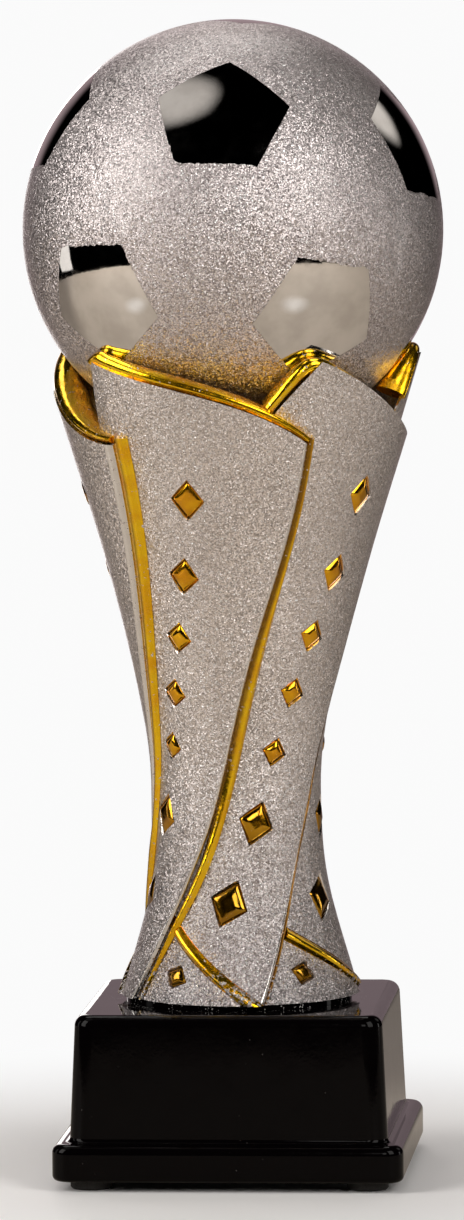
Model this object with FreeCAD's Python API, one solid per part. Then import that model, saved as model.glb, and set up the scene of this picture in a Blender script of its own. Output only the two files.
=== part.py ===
"""Figure trophy: a glittered football held by five twisted petals on a black stepped plinth.

Millimetres, +Z up. The origin is on the ground under the middle of the plinth and the front
faces -Y. Angles around the column are in degrees from the front, growing towards +X.

The cup is a hollow gilt core. Five petals wind round it like shingles: each tucks its left
margin under the petal before it and ends on the right in a raised edge. A place on a petal is
given by its height and by a fraction u, which runs from 0 at the petal's left seam to 1 at
its right seam. It is negative where the petal is tucked under the one before, and is then
counted in spans of that petal.
"""
import FreeCAD, Part
import math
import os

from FreeCAD import Vector

os.makedirs("parts", exist_ok=True)

# Overall
TOTAL_HEIGHT = 300.0
BALL_RADIUS = 54.6
BALL_CENTRE_Z = TOTAL_HEIGHT - BALL_RADIUS
GLUE_LINE = 0.05

# Plinth and its feet
FOOT_PAD_HEIGHT = 2.6
FOOT_PAD_RADIUS = 5.4
FOOT_PAD_INSET = 9.6
FOOT_PAD_CHAMFER = 0.5
FLANGE_HALF = 45.3
FLANGE_TOP = 12.2
BLOCK_HALF_LOW = 41.2
BLOCK_HALF_TOP = 39.6
PLINTH_TOP = 45.0
PLINTH_CORNER_RADIUS = 5.0
BLOCK_EDGE_RADIUS = 3.0
FLANGE_EDGE_RADIUS = 2.4
FLANGE_UNDER_RADIUS = 1.5
STEP_RADIUS = 1.2
PLINTH_WALL = 5.0
PLINTH_WALL_LOW = 8.0
COLLAR_HEIGHT = 1.5
COLLAR_RADIUS = 29.4

# Column skin: radius at the left seam of a petal, at heights from the foot to the rim
COLUMN_FOOT = PLINTH_TOP + COLLAR_HEIGHT
SKIN_PROFILE = [(46.5, 29.4), (61.0, 25.4), (77.0, 21.9), (92.0, 20.9), (110.0, 21.6),
                (135.0, 26.4), (162.0, 33.3), (189.0, 41.5), (214.0, 49.2)]

# Spiral seams
PETALS = 5
PETAL_PITCH = 360.0 / PETALS
SEAM_SHIFT = [0.0, -3.0, 0.0, 2.0, 1.0]
SEAM_TOP_Z = 189.0
SEAM_TOP_ANGLE = 30.0
TWIST_RATE_TOP = 0.04
TWIST_RATE_WAIST = 0.81
TWIST_WAIST_DEPTH = 90.6
FOOT_SWING = [6.6, 2.0, 2.0, 5.0, 5.8]
FOOT_SWING_TOP_Z = 98.0
FOOT_SWING_HEIGHT = 38.0
SEAM_BOW = [3.0, 0.0, 0.0, 0.0, 0.0]
SEAM_BOW_Z = 132.0
SEAM_BOW_HALF_HEIGHT = 44.0

# Petals
UNDERLAP = 0.2
PETAL_THICKNESS = 2.6
UNDERLAP_TIP = 0.4
RAMP_LENGTH = 0.03
LIFT_BASE = 0.9
LIFT_PER_RADIUS = 0.04
EDGE_BEVEL = [1.4, 1.6, 1.6, 2.0, 1.4]
EDGE_ROUNDING = 0.45
PEAK_Z = 213.1
JUNCTION_Z = 191.6
PEAK_AT = [0.02, 0.0, 0.0, 0.0, -0.066]
LEFT_EDGE_DROP = [15.5, 14.0, 14.0, 14.0, 30.0]
TOP_EDGE_BULGE = [-2.5, 1.0, 0.0, -3.0, 2.8]
BULGE_NORM = 6.75  # makes the cubic s * s * (1 - s) one at its highest

# Gilt trim
RIM_START = [-0.19, -0.19, -0.19, -0.19, -0.075]
RIM_LIP = 0.7
RIM_RISE_LEFT = 3.4
RIM_RISE_RIGHT = [-0.6, 1.4, 1.4, 1.4, 1.5]
RIM_PEAK_SOFTNESS = 2.0
RIM_WIDENING_DROP = 10.0
RIM_TAPER = 0.4
RIM_BEAD_HALF_HEIGHT = 1.9
RIM_BEAD_HALF_WIDTH = 1.9
RIM_BEAD_EXTRA_WIDTH = 2.4
RIM_BEAD_SIDE_ANGLE = 8.0
RIM_DIRECTION_STEP = 0.004
SEAM_RIB_WIDTHS = [(1.9, 3.0, 1.3), (3.4, 1.0, 0.9), (3.4, 3.0, 2.0), (3.4, 3.0, 2.0), (4.6, 4.2, 2.6)]
SEAM_RIB_WAIST_DEPTH = 64.0
SEAM_RIB_NARROWING_Z = 76.0
SEAM_RIB_NARROWING_HEIGHT = 28.0
SEAM_RIB_GAP = [0.5, 0.15, 0.35, 0.35, 0.35]
SEAM_RIB_TOP_OVERLAP = 0.5
RIDGE_AT = 0.6
RIDGE_HEIGHT = 0.62
RIDGE_CROWN = 0.25
RIDGE_LEFT_HEIGHT = 0.42
RIB_EDGE_HEIGHT = 0.12
ROUND_RIB_CROWN = 0.42
ROUND_RIB_BASE = 0.3
ROUND_RIB_TOP_Z = 96.0
ROUND_RIB_BLEND = 16.0
FOOT_RIB_WIDTH = 3.2
FOOT_RIB_CROWN = 1.3
FOOT_RIB_SINK = 0.2
FOOT_RIB_START = [0.1, 0.045, 0.12, 0.12, 0.135]
FOOT_RIB_END = 0.99
FOOT_LINE_HIGH = [66.8, 64.8, 64.0, 64.0, 64.0]
FOOT_LINE_LOW = [45.1, 49.0, 42.1, 42.1, 37.0]
FACET_TIP_HEIGHT = 0.35

# Inlaid diamonds: height on the column, shift across the petal, width, length along the petal;
# then the fraction and height of each facet's own diamond
PETAL_DIAMONDS = [(177.6, 0.02, 9.0, 10.8), (157.6, 0.01, 8.2, 9.8), (141.3, 0.0, 7.4, 8.2),
                  (126.6, -0.01, 7.0, 7.6), (111.2, -0.015, 6.6, 7.2), (92.8, 0.0, 9.4, 11.6),
                  (72.2, 0.015, 10.4, 12.6)]
PETAL_DIAMOND_AT = [0.445, 0.42, 0.44, 0.44, 0.38]
WAIST_DIAMOND_RISE = [0.0, 0.0, 0.0, 0.0, 1.4]
WAIST_TOP_Z = 120.0
FACET_DIAMOND_AT = [(0.28, 53.3), (0.255, 54.0), (0.26, 52.4), (0.26, 52.4), (0.21, 51.9)]
FACET_DIAMOND_SIZE = (7.4, 6.4)
DIAMOND_RECESS = 0.5
DIAMOND_DEPTH = 1.4
DIAMOND_FLARE = 3.6
DIAMOND_FLARE_HEIGHT = 2.1
INLAY_SHOULDER = 0.35
INLAY_RISE = [(0.76, 0.45), (0.40, 0.85)]

# Ball
BALL_WALL = 4.0
PENTAGON_ANGLE = 19.0
PENTAGON_DEPTH = 1.2
PENTAGON_REACH = 1.2 * BALL_RADIUS
BALL_TURN = [(1.0, 0.0, 0.0, -8.2), (0.0, 1.0, 0.0, 4.3), (0.0, 0.0, 1.0, -1.7)]
SEAT_RADIUS = 30.0

# Core
CORE_WALL = 5.0
CORE_FLOOR = 6.0
CORE_RIM_Z = 186.0

# Fixing screw from inside the plinth into the core's floor
SCREW_RADIUS = 4.0
SCREW_CLEARANCE = 0.3
SCREW_HEAD_RADIUS = 7.0
SCREW_HEAD_HEIGHT = 5.3
WASHER_RADIUS = 12.0
WASHER_THICKNESS = 1.6
INSERT_RADIUS = 6.5
INSERT_FLANGE_RADIUS = 9.0
INSERT_FLANGE_HEIGHT = 2.0


def export(name, solid):
    solid.exportStep("parts/" + name + ".step")


# ---------------------------------------------------------------- column geometry

def skin_radius(z):
    """Cubic Hermite curve through SKIN_PROFILE, each slope taken from the two neighbours."""
    last = len(SKIN_PROFILE) - 1
    z = min(max(z, SKIN_PROFILE[0][0]), SKIN_PROFILE[last][0])
    i = 0
    while i < last - 1 and z > SKIN_PROFILE[i + 1][0]:
        i += 1
    slopes = []
    for k in (i, i + 1):
        low = SKIN_PROFILE[max(k - 1, 0)]
        high = SKIN_PROFILE[min(k + 1, last)]
        slopes.append((high[1] - low[1]) / (high[0] - low[0]))
    step = SKIN_PROFILE[i + 1][0] - SKIN_PROFILE[i][0]
    t = (z - SKIN_PROFILE[i][0]) / step
    start = (1 + 2 * t) * (1 - t) ** 2 * SKIN_PROFILE[i][1]
    end = t * t * (3 - 2 * t) * SKIN_PROFILE[i + 1][1]
    return start + end + step * (t * (1 - t) ** 2 * slopes[0] - t * t * (1 - t) * slopes[1])


def core_radius(z):
    return skin_radius(z) - PETAL_THICKNESS


def lift(z):
    """How far a petal's right edge stands proud of the next petal's left margin."""
    return LIFT_BASE + LIFT_PER_RADIUS * skin_radius(z)


def smooth_step(value):
    held = min(max(value, 0.0), 1.0)
    return held * held * (3 - 2 * held)


def seam_angle(seam, z):
    """The twist grows steadily from the rim to the waist and then stays constant.

    Each seam also swings aside near the foot, and the front one bows a little halfway up.
    """
    depth = SEAM_TOP_Z - z
    curved = min(max(depth, 0.0), TWIST_WAIST_DEPTH)
    growth = (TWIST_RATE_WAIST - TWIST_RATE_TOP) / TWIST_WAIST_DEPTH
    angle = SEAM_TOP_ANGLE - TWIST_RATE_TOP * min(depth, curved) - growth * curved ** 2 / 2
    angle -= TWIST_RATE_WAIST * max(depth - TWIST_WAIST_DEPTH, 0.0)
    number = seam % PETALS
    angle -= FOOT_SWING[number] * smooth_step((FOOT_SWING_TOP_Z - z) / FOOT_SWING_HEIGHT)
    angle -= SEAM_BOW[number] * smooth_step(1 - abs(z - SEAM_BOW_Z) / SEAM_BOW_HALF_HEIGHT)
    return angle + PETAL_PITCH * seam + SEAM_SHIFT[number]


def span(petal, z):
    return seam_angle(petal + 1, z) - seam_angle(petal, z)


def column_point(petal, u, z, radius):
    scale = span(petal, z) if u >= 0 else span(petal - 1, z)
    angle = math.radians(seam_angle(petal, z) + u * scale)
    return Vector(radius * math.sin(angle), -radius * math.cos(angle), z)


def fraction_of(petal, width, z):
    """The part of a petal's span that a width in millimetres takes up at height z."""
    return width / (skin_radius(z) * math.radians(span(petal, z)))


def outer_radius(u, z):
    """Outer face of a petal: a thin tucked margin, then a steady rise to the right edge."""
    if u >= 0:
        return skin_radius(z) + lift(z) * u
    tucked = (u + UNDERLAP) / UNDERLAP
    return core_radius(z) + UNDERLAP_TIP + tucked * (PETAL_THICKNESS - UNDERLAP_TIP)


def inner_radius(u, z):
    """Inner face of a petal: on the core, then over the tucked margin of the next petal."""
    seat = core_radius(z) + GLUE_LINE
    tucked = u - 1
    if tucked <= -UNDERLAP:
        climbed = max(tucked + UNDERLAP + RAMP_LENGTH, 0.0) / RAMP_LENGTH
        return seat + UNDERLAP_TIP * climbed
    return outer_radius(tucked, z) + GLUE_LINE


def left_edge_z(petal, u):
    slope = LEFT_EDGE_DROP[petal] / (UNDERLAP + PEAK_AT[petal])
    return PEAK_Z + slope * (u - PEAK_AT[petal])


def right_edge_z(petal, u):
    s = (u - PEAK_AT[petal]) / (1 - PEAK_AT[petal])
    bulge = TOP_EDGE_BULGE[petal] * BULGE_NORM * s * s * (1 - s)
    return PEAK_Z + (JUNCTION_Z - PEAK_Z) * s + bulge


def top_z(petal, u):
    if u < PEAK_AT[petal]:
        return left_edge_z(petal, u)
    return right_edge_z(petal, u)


def foot_line_z(petal, u):
    """Middle of the foot rib: level under the tucked margin, then falling to the right."""
    return FOOT_LINE_HIGH[petal] + (FOOT_LINE_LOW[petal] - FOOT_LINE_HIGH[petal]) * max(u, 0.0)


def foot_line_at(petal, z):
    """The fraction of a petal at which the middle of its foot rib has come down to height z."""
    return (FOOT_LINE_HIGH[petal] - z) / (FOOT_LINE_HIGH[petal] - FOOT_LINE_LOW[petal])


# ---------------------------------------------------------------- solids from patches

def curve_through(points):
    """Cubic B-spline through points at evenly spaced parameters from 0 to 1."""
    count = len(points) - 1
    curve = Part.BSplineCurve()
    curve.interpolate(Points=points, Parameters=[i / count for i in range(count + 1)])
    return curve


def grid_surface(point, columns, rows):
    """B-spline surface through point(s, t), with s and t running from 0 to 1.

    The lines along t are interpolated first and then their poles across s, so patches with
    the same points along a shared side have the same boundary curve.
    """
    lines = []
    for i in range(columns + 1):
        lines.append(curve_through([point(i / columns, j / rows) for j in range(rows + 1)]))
    across = [curve_through(list(row)) for row in zip(*[line.getPoles() for line in lines])]
    poles = [list(column) for column in zip(*[curve.getPoles() for curve in across])]
    surface = Part.BSplineSurface()
    surface.buildFromPolesMultsKnots(poles, across[0].getMultiplicities(), lines[0].getMultiplicities(),
                                     across[0].getKnots(), lines[0].getKnots(), False, False,
                                     across[0].Degree, lines[0].Degree)
    return surface


def boundary(surface, side):
    """Edge of a surface along one side: 's0', 's1', 't0' or 't1'."""
    u0, u1, v0, v1 = surface.bounds()
    curves = {"s0": lambda: surface.uIso(u0), "s1": lambda: surface.uIso(u1),
              "t0": lambda: surface.vIso(v0), "t1": lambda: surface.vIso(v1)}
    return curves[side]().toShape()


def patch_solid(segments, columns, rows):
    """Closed solid from neighbouring segments, each a pair of outer and inner point functions."""
    faces = []
    for k, (outer, inner) in enumerate(segments):
        skin = grid_surface(outer, columns, rows)
        back = grid_surface(inner, columns, rows)
        faces += [skin.toShape(), back.toShape()]
        sides = ["t0", "t1"]
        if k == 0:
            sides.append("s0")
        if k == len(segments) - 1:
            sides.append("s1")
        for side in sides:
            faces.append(Part.makeRuledSurface(boundary(skin, side), boundary(back, side)))
    shell = Part.makeShell(faces)
    shell.sewShape()
    solid = Part.makeSolid(shell)
    if solid.Volume < 0:
        solid.reverse()
    return solid


def skin_segment(petal, start, end, low_z, high_z, outer=outer_radius):
    """One segment of skin between two fractions of a petal and two edge lines."""
    def place(s, t, radius):
        u = start + s * (end - start)
        z = low_z(u) + t * (high_z(u) - low_z(u))
        return column_point(petal, u, z, radius(u, z))

    return (lambda s, t: place(s, t, outer), lambda s, t: place(s, t, inner_radius))


# ---------------------------------------------------------------- petals and facets

def bevel_start(petal):
    return 1 - fraction_of(petal, EDGE_BEVEL[petal], SEAM_TOP_Z)


def beveled_radius(petal, u, z):
    """Outer face of the last strip, which rounds off the raised right edge."""
    s = (u - bevel_start(petal)) / (1 - bevel_start(petal))
    return outer_radius(u, z) - EDGE_ROUNDING * lift(z) * s * s


def petal_blank(petal):
    """A petal before its pockets are cut: it ends on the foot rib, and near its right seam on the collar."""
    rib_half = FOOT_RIB_WIDTH / 2 + GLUE_LINE
    floor_z = COLUMN_FOOT + GLUE_LINE
    lands_at = min(foot_line_at(petal, floor_z - rib_half), bevel_start(petal))
    stops = sorted({-UNDERLAP, 0.0, PEAK_AT[petal], 1 - UNDERLAP - RAMP_LENGTH, 1 - UNDERLAP,
                    lands_at, bevel_start(petal)})

    def bottom(u):
        return max(foot_line_z(petal, u) + rib_half, floor_z)

    def top(u):
        return top_z(petal, u)

    segments = []
    for start, end in zip(stops, stops[1:]):
        segments.append(skin_segment(petal, start, end, bottom, top))

    def bevel(u, z):
        return beveled_radius(petal, u, z)

    segments.append(skin_segment(petal, stops[-1], 1.0, bottom, top, bevel))
    return patch_solid(segments, 4, 16)


def facet_blank(petal):
    """Wedge of skin between the foot rib and the collar."""
    rib_half = FOOT_RIB_WIDTH / 2 + GLUE_LINE

    def bottom(u):
        return COLUMN_FOOT

    def top(u):
        return foot_line_z(petal, u) - rib_half

    tip = min(foot_line_at(petal, COLUMN_FOOT + rib_half + FACET_TIP_HEIGHT), 1.0)
    climb = [1 - UNDERLAP - RAMP_LENGTH, 1 - UNDERLAP]
    stops = [-UNDERLAP, 0.0] + [stop for stop in climb if stop < tip] + [tip]
    segments = [skin_segment(petal, start, end, bottom, top) for start, end in zip(stops, stops[1:])]
    return patch_solid(segments, 4, 8)


# ---------------------------------------------------------------- gilt trim

def rim_path(petal, u):
    """Centre line of the rim bead: the top edge, raised a little, with its peak rounded."""
    left = left_edge_z(petal, u) + RIM_RISE_LEFT
    right = right_edge_z(petal, u) + RIM_RISE_RIGHT[petal]
    low = min(left, right)
    blend = math.exp((low - left) / RIM_PEAK_SOFTNESS) + math.exp((low - right) / RIM_PEAK_SOFTNESS)
    z = low - RIM_PEAK_SOFTNESS * math.log(blend)
    radius = outer_radius(max(u, 0.0), z) - RIM_LIP - rim_half_width(u, z)
    return column_point(petal, u, z, radius)


def rim_taper(u):
    """Full size along most of the edge, thinner over the last stretch before the junction."""
    return 1 - RIM_TAPER * max(u - 1 + UNDERLAP, 0.0) / UNDERLAP


def rim_half_width(u, z):
    """Wider away from the peak, where the ball leaves room."""
    room = min(max((PEAK_Z - z) / RIM_WIDENING_DROP, 0.0), 1.0)
    return (RIM_BEAD_HALF_WIDTH + RIM_BEAD_EXTRA_WIDTH * room) * rim_taper(u)


def rim_bead(petal):
    """Oval bead along the top edge of a petal, from its tucked corner or its peak to the junction."""
    first = RIM_START[petal]
    step = RIM_DIRECTION_STEP

    def place(s, t, sign):
        u = first + (1 - first) * t
        centre = rim_path(petal, u)
        along = (rim_path(petal, u + step) - rim_path(petal, u - step)).normalize()
        out = Vector(centre.x, centre.y, 0).normalize()
        out = (out - along * out.dot(along)).normalize()
        up = along.cross(out)
        turn = math.radians(RIM_BEAD_SIDE_ANGLE + (180 - 2 * RIM_BEAD_SIDE_ANGLE) * s)
        half_width = rim_half_width(u, centre.z)
        half_height = RIM_BEAD_HALF_HEIGHT * rim_taper(u)
        return centre + out * (half_width * math.cos(turn)) + up * (sign * half_height * math.sin(turn))

    return patch_solid([(lambda s, t: place(s, t, 1), lambda s, t: place(s, t, -1))], 8, 28)


def rib_width(petal, z):
    """Width of a seam rib, set at the rim, at the waist and at the foot."""
    top, waist, foot = SEAM_RIB_WIDTHS[petal]
    below_top = smooth_step((SEAM_TOP_Z - z) / SEAM_RIB_WAIST_DEPTH)
    near_foot = smooth_step((SEAM_RIB_NARROWING_Z - z) / SEAM_RIB_NARROWING_HEIGHT)
    return top + (waist - top) * below_top + (foot - waist) * near_foot


def ridge_height(s, z):
    """Section of the upper rib: it climbs away from the seam to a ridge and drops to the skin."""
    crest = RIDGE_HEIGHT * lift(z) + RIDGE_CROWN
    if s < RIDGE_AT:
        left = RIDGE_LEFT_HEIGHT * lift(z)
        return left + (crest - left) * math.sin(math.pi / 2 * s / RIDGE_AT)
    fall = math.cos(math.pi / 2 * (s - RIDGE_AT) / (1 - RIDGE_AT))
    return RIB_EDGE_HEIGHT + (crest - RIB_EDGE_HEIGHT) * fall


def seam_rib(petal):
    """Gilt moulding on a petal's left margin, against the raised edge of the petal before it.

    It is a ridge in the upper part and turns into a free-standing half-round near the foot.
    """
    low_z = COLUMN_FOOT
    high_z = JUNCTION_Z + RIM_RISE_RIGHT[petal - 1] + SEAM_RIB_TOP_OVERLAP

    def place(s, t, raised):
        z = low_z + t * (high_z - low_z)
        low = smooth_step((ROUND_RIB_TOP_Z - z) / ROUND_RIB_BLEND)
        width = rib_width(petal, z)
        u = fraction_of(petal, GLUE_LINE + SEAM_RIB_GAP[petal] * low + width * s, z)
        round_height = ROUND_RIB_BASE + ROUND_RIB_CROWN * width * math.sin(math.pi * s)
        height = (1 - low) * ridge_height(s, z) + low * round_height
        return column_point(petal, u, z, outer_radius(u, z) + (height if raised else GLUE_LINE))

    return patch_solid([(lambda s, t: place(s, t, True), lambda s, t: place(s, t, False))], 10, 32)


def foot_rib(petal):
    """Half-round gilt rib along the bottom edge of a petal."""
    def place(s, t, radius_at):
        u = FOOT_RIB_START[petal] + t * (FOOT_RIB_END - FOOT_RIB_START[petal])
        z = foot_line_z(petal, u) + (s - 0.5) * FOOT_RIB_WIDTH
        return column_point(petal, u, z, radius_at(u, z, s))

    def crown(u, z, s):
        return outer_radius(u, z) - FOOT_RIB_SINK + FOOT_RIB_CROWN * math.sin(math.pi * s)

    def seat(u, z, s):
        return inner_radius(u, z) + 2 * GLUE_LINE

    rib = patch_solid([(lambda s, t: place(s, t, crown), lambda s, t: place(s, t, seat))], 6, 24)
    size = 4 * COLUMN_FOOT
    above_collar = Part.makeBox(size, size, size, Vector(-size / 2, -size / 2, COLUMN_FOOT))
    return largest(rib.common(above_collar))


# ---------------------------------------------------------------- diamonds

def petal_diamonds(petal):
    """Place and size of each diamond on a petal: fraction, height, width and length."""
    places = []
    for z, shift, width, length in PETAL_DIAMONDS:
        rise = WAIST_DIAMOND_RISE[petal] if z < WAIST_TOP_Z else 0.0
        places.append((PETAL_DIAMOND_AT[petal] + shift, z + rise, width, length))
    return places


def diamond_frame(petal, u, z):
    """Centre on the skin, outward normal, direction along the petal and direction across it."""
    centre = column_point(petal, u, z, outer_radius(u, z))
    higher = column_point(petal, u, z + 1, outer_radius(u, z + 1))
    lower = column_point(petal, u, z - 1, outer_radius(u, z - 1))
    beside = column_point(petal, u + 0.02, z, outer_radius(u + 0.02, z))
    along = (higher - lower).normalize()
    across = (beside - centre).normalize()
    normal = across.cross(along).normalize()
    across = along.cross(normal)
    return centre, normal, along, across


def diamond_wire(frame, width, length, height):
    centre, normal, along, across = frame
    base = centre + normal * height
    corners = [base + along * (length / 2), base + across * (width / 2),
               base - along * (length / 2), base - across * (width / 2)]
    return Part.makePolygon(corners + corners[:1])


def diamond_cutter(petal, u, z, width, length):
    """Pocket with a straight floor part and flared sides."""
    frame = diamond_frame(petal, u, z)
    floor_z = -DIAMOND_RECESS - DIAMOND_DEPTH
    shoulder = Part.makeLoft([diamond_wire(frame, width, length, floor_z),
                              diamond_wire(frame, width, length, -DIAMOND_RECESS)], True, True)
    mouth = Part.makeLoft([diamond_wire(frame, width, length, -DIAMOND_RECESS),
                           diamond_wire(frame, width + DIAMOND_FLARE, length + DIAMOND_FLARE,
                                        DIAMOND_FLARE_HEIGHT)], True, True)
    return shoulder.fuse(mouth)


def diamond_inlay(petal, u, z, width, length):
    """Gilt diamond with a face that rises in three steps, set on the floor of its pocket."""
    frame = diamond_frame(petal, u, z)
    wide = width - 2 * GLUE_LINE
    long = length - 2 * GLUE_LINE
    foot = diamond_wire(frame, wide, long, -DIAMOND_RECESS - DIAMOND_DEPTH + GLUE_LINE)
    shoulder = diamond_wire(frame, wide, long, -DIAMOND_RECESS - INLAY_SHOULDER)
    rings = [foot, shoulder]
    for size, height in INLAY_RISE:
        rings.append(diamond_wire(frame, size * wide, size * long, height - DIAMOND_RECESS))
    return Part.makeLoft(rings, True, True)


# ---------------------------------------------------------------- core and collar

def core():
    """Hollow vase that carries the petals, with a dished seat for the ball."""
    steps = 24
    outer = []
    for i in range(steps + 1):
        z = COLUMN_FOOT + (CORE_RIM_Z - COLUMN_FOOT) * i / steps
        outer.append(Vector(core_radius(z), 0, z))
    wall = Part.BSplineCurve()
    wall.interpolate(outer)
    seat_sphere = BALL_RADIUS + GLUE_LINE
    seat_edge = Vector(SEAT_RADIUS, 0, BALL_CENTRE_Z - math.sqrt(seat_sphere ** 2 - SEAT_RADIUS ** 2))
    seat_bottom = Vector(0, 0, BALL_CENTRE_Z - seat_sphere)
    half = math.asin(SEAT_RADIUS / seat_sphere) / 2
    seat_middle = Vector(seat_sphere * math.sin(half), 0, BALL_CENTRE_Z - seat_sphere * math.cos(half))
    edges = [wall.toShape(),
             Part.LineSegment(outer[-1], seat_edge).toShape(),
             Part.Arc(seat_edge, seat_middle, seat_bottom).toShape(),
             Part.LineSegment(seat_bottom, Vector(0, 0, COLUMN_FOOT)).toShape(),
             Part.LineSegment(Vector(0, 0, COLUMN_FOOT), outer[0]).toShape()]
    body = Part.Face(Part.Wire(edges)).revolve(Vector(0, 0, 0), Vector(0, 0, 1), 360)
    return body.cut(core_cavity()).cut(insert_hole())


def core_cavity():
    steps = 16
    low = COLUMN_FOOT + CORE_FLOOR
    high = CORE_RIM_Z - 2 * CORE_WALL
    points = []
    for i in range(steps + 1):
        z = low + (high - low) * i / steps
        points.append(Vector(core_radius(z) - CORE_WALL, 0, z))
    wall = Part.BSplineCurve()
    wall.interpolate(points)
    edges = [wall.toShape(),
             Part.LineSegment(points[-1], Vector(0, 0, high)).toShape(),
             Part.LineSegment(Vector(0, 0, high), Vector(0, 0, low)).toShape(),
             Part.LineSegment(Vector(0, 0, low), points[0]).toShape()]
    return Part.Face(Part.Wire(edges)).revolve(Vector(0, 0, 0), Vector(0, 0, 1), 360)


def insert_hole():
    return Part.makeCylinder(INSERT_RADIUS + GLUE_LINE, CORE_FLOOR + 2, Vector(0, 0, COLUMN_FOOT - 1))


def collar():
    height = COLLAR_HEIGHT - 2 * GLUE_LINE
    ring = Part.makeCylinder(COLLAR_RADIUS, height, Vector(0, 0, PLINTH_TOP + GLUE_LINE))
    hole = Part.makeCylinder(WASHER_RADIUS, COLLAR_HEIGHT * 3, Vector(0, 0, PLINTH_TOP - COLLAR_HEIGHT))
    return ring.cut(hole)


# ---------------------------------------------------------------- plinth

def rounded_square(half, corner, z):
    """Closed wire of a square with rounded corners, centred on the axis."""
    edges = []
    straight = half - corner
    diagonal = straight + corner * math.sqrt(0.5)
    for quarter in range(4):
        turn = FreeCAD.Rotation(Vector(0, 0, 1), 90 * quarter)
        start = turn.multVec(Vector(half, -straight, z))
        end = turn.multVec(Vector(half, straight, z))
        middle = turn.multVec(Vector(diagonal, diagonal, z))
        after = turn.multVec(Vector(straight, half, z))
        edges.append(Part.LineSegment(start, end).toShape())
        edges.append(Part.Arc(end, middle, after).toShape())
    return Part.Wire(edges)


def level_edges(body, z, half):
    """Edges of a body that lie at height z round a square of about the given half width."""
    found = []
    for edge in body.Edges:
        box = edge.BoundBox
        reach = max(abs(box.XMin), abs(box.XMax), abs(box.YMin), abs(box.YMax))
        if abs(box.ZMin - z) < 0.01 and abs(box.ZMax - z) < 0.01 and abs(reach - half) < 1:
            found.append(edge)
    return found


def plinth_shell():
    """Stepped plinth, hollow and open underneath, with every outer edge softened."""
    flange = Part.makeLoft([rounded_square(FLANGE_HALF, PLINTH_CORNER_RADIUS, FOOT_PAD_HEIGHT),
                            rounded_square(FLANGE_HALF, PLINTH_CORNER_RADIUS, FLANGE_TOP)], True, True)
    block = Part.makeLoft([rounded_square(BLOCK_HALF_LOW, PLINTH_CORNER_RADIUS, FLANGE_TOP - 2),
                           rounded_square(BLOCK_HALF_TOP, PLINTH_CORNER_RADIUS, PLINTH_TOP)], True, True)
    body = flange.fuse(block).removeSplitter()
    body = body.makeFillet(BLOCK_EDGE_RADIUS, level_edges(body, PLINTH_TOP, BLOCK_HALF_TOP))
    body = body.makeFillet(FLANGE_EDGE_RADIUS, level_edges(body, FLANGE_TOP, FLANGE_HALF))
    body = body.makeFillet(STEP_RADIUS, level_edges(body, FLANGE_TOP, BLOCK_HALF_LOW))
    body = body.makeFillet(FLANGE_UNDER_RADIUS, level_edges(body, FOOT_PAD_HEIGHT, FLANGE_HALF))
    ceiling = PLINTH_TOP - PLINTH_WALL
    cavity = Part.makeLoft([rounded_square(BLOCK_HALF_LOW - PLINTH_WALL_LOW, PLINTH_CORNER_RADIUS, 0),
                            rounded_square(BLOCK_HALF_TOP - PLINTH_WALL, PLINTH_CORNER_RADIUS, ceiling)],
                           True, True)
    hole = Part.makeCylinder(SCREW_RADIUS + SCREW_CLEARANCE, 3 * PLINTH_WALL,
                             Vector(0, 0, ceiling - PLINTH_WALL))
    return body.cut(cavity).cut(hole)


def foot_pad(side_x, side_y):
    """Rubber bumper with a chamfered lower rim."""
    reach = FLANGE_HALF - FOOT_PAD_INSET
    place = Vector(side_x * reach, side_y * reach, 0)
    rim = Part.makeCone(FOOT_PAD_RADIUS - FOOT_PAD_CHAMFER, FOOT_PAD_RADIUS, FOOT_PAD_CHAMFER, place)
    height = FOOT_PAD_HEIGHT - GLUE_LINE - FOOT_PAD_CHAMFER
    disc = Part.makeCylinder(FOOT_PAD_RADIUS, height, place + Vector(0, 0, FOOT_PAD_CHAMFER))
    return rim.fuse(disc).removeSplitter().Solids[0]


# ---------------------------------------------------------------- fixing

def screw_head_top():
    return PLINTH_TOP - PLINTH_WALL - WASHER_THICKNESS - 2 * GLUE_LINE


def fixing_screw():
    """Hexagon-head screw, modelled with a plain shank."""
    corners = []
    for k in range(7):
        turn = math.radians(60 * k)
        corners.append(Vector(SCREW_HEAD_RADIUS * math.cos(turn), SCREW_HEAD_RADIUS * math.sin(turn),
                              screw_head_top() - SCREW_HEAD_HEIGHT))
    head = Part.Face(Part.makePolygon(corners)).extrude(Vector(0, 0, SCREW_HEAD_HEIGHT))
    length = COLUMN_FOOT + CORE_FLOOR - screw_head_top()
    shank = Part.makeCylinder(SCREW_RADIUS, length, Vector(0, 0, screw_head_top()))
    return head.fuse(shank).removeSplitter().Solids[0]


def fixing_washer():
    base = Vector(0, 0, screw_head_top() + GLUE_LINE)
    disc = Part.makeCylinder(WASHER_RADIUS, WASHER_THICKNESS, base)
    return disc.cut(Part.makeCylinder(SCREW_RADIUS + SCREW_CLEARANCE, WASHER_THICKNESS, base))


def threaded_insert():
    """Flanged bush in the core's floor that takes the screw."""
    bush = Part.makeCylinder(INSERT_RADIUS, CORE_FLOOR, Vector(0, 0, COLUMN_FOOT + GLUE_LINE))
    flange_z = COLUMN_FOOT + CORE_FLOOR + GLUE_LINE
    flange = Part.makeCylinder(INSERT_FLANGE_RADIUS, INSERT_FLANGE_HEIGHT, Vector(0, 0, flange_z))
    bore = Part.makeCylinder(SCREW_RADIUS + GLUE_LINE, 3 * CORE_FLOOR, Vector(0, 0, COLUMN_FOOT - 1))
    return bush.fuse(flange).cut(bore).removeSplitter().Solids[0]


# ---------------------------------------------------------------- ball

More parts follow.
